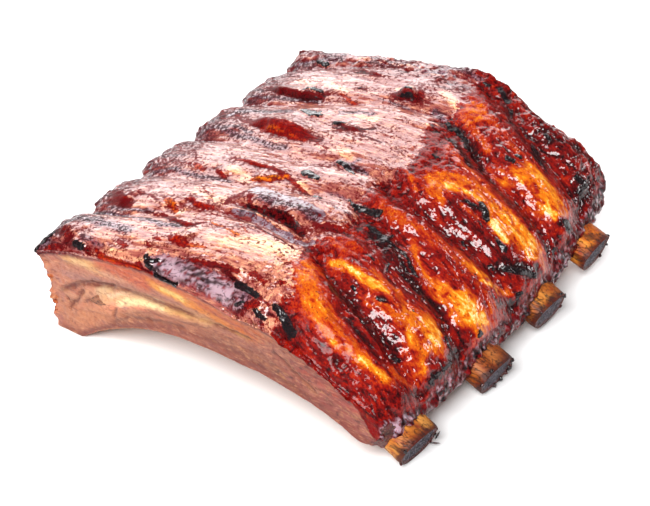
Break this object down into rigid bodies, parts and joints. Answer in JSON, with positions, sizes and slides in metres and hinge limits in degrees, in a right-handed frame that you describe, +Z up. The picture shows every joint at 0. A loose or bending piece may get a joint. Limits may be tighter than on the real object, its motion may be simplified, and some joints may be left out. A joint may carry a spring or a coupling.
{
  "type": "rack of ribs",
  "caption": "Arched slab of glazed barbecued pork ribs with lengthwise meat ridges, a hollow underside and sawn rib bone ends that stick out along one edge.",
  "frame": {"origin": "bottom centre of the whole piece, on the floor it stands on", "axes": "+Z up out of the arched meat side, +X along the ribs towards the sawn bone ends that stick out, +Y across the ribs away from the cut face that shows the first bone"},
  "size_m": [0.123, 0.1278, 0.0422],
  "materials": {
    "glazed_meat": "sticky glossy glaze over browned crust, charred in places",
    "toasted_bone": "dry toasted bone, darkened at the sawn ends"
  },
  "bodies": {
    "root": {"meat": "glazed_meat", "bone_1": "toasted_bone", "bone_2": "toasted_bone", "bone_3": "toasted_bone", "bone_4": "toasted_bone"}
  },
  "joints": []
}
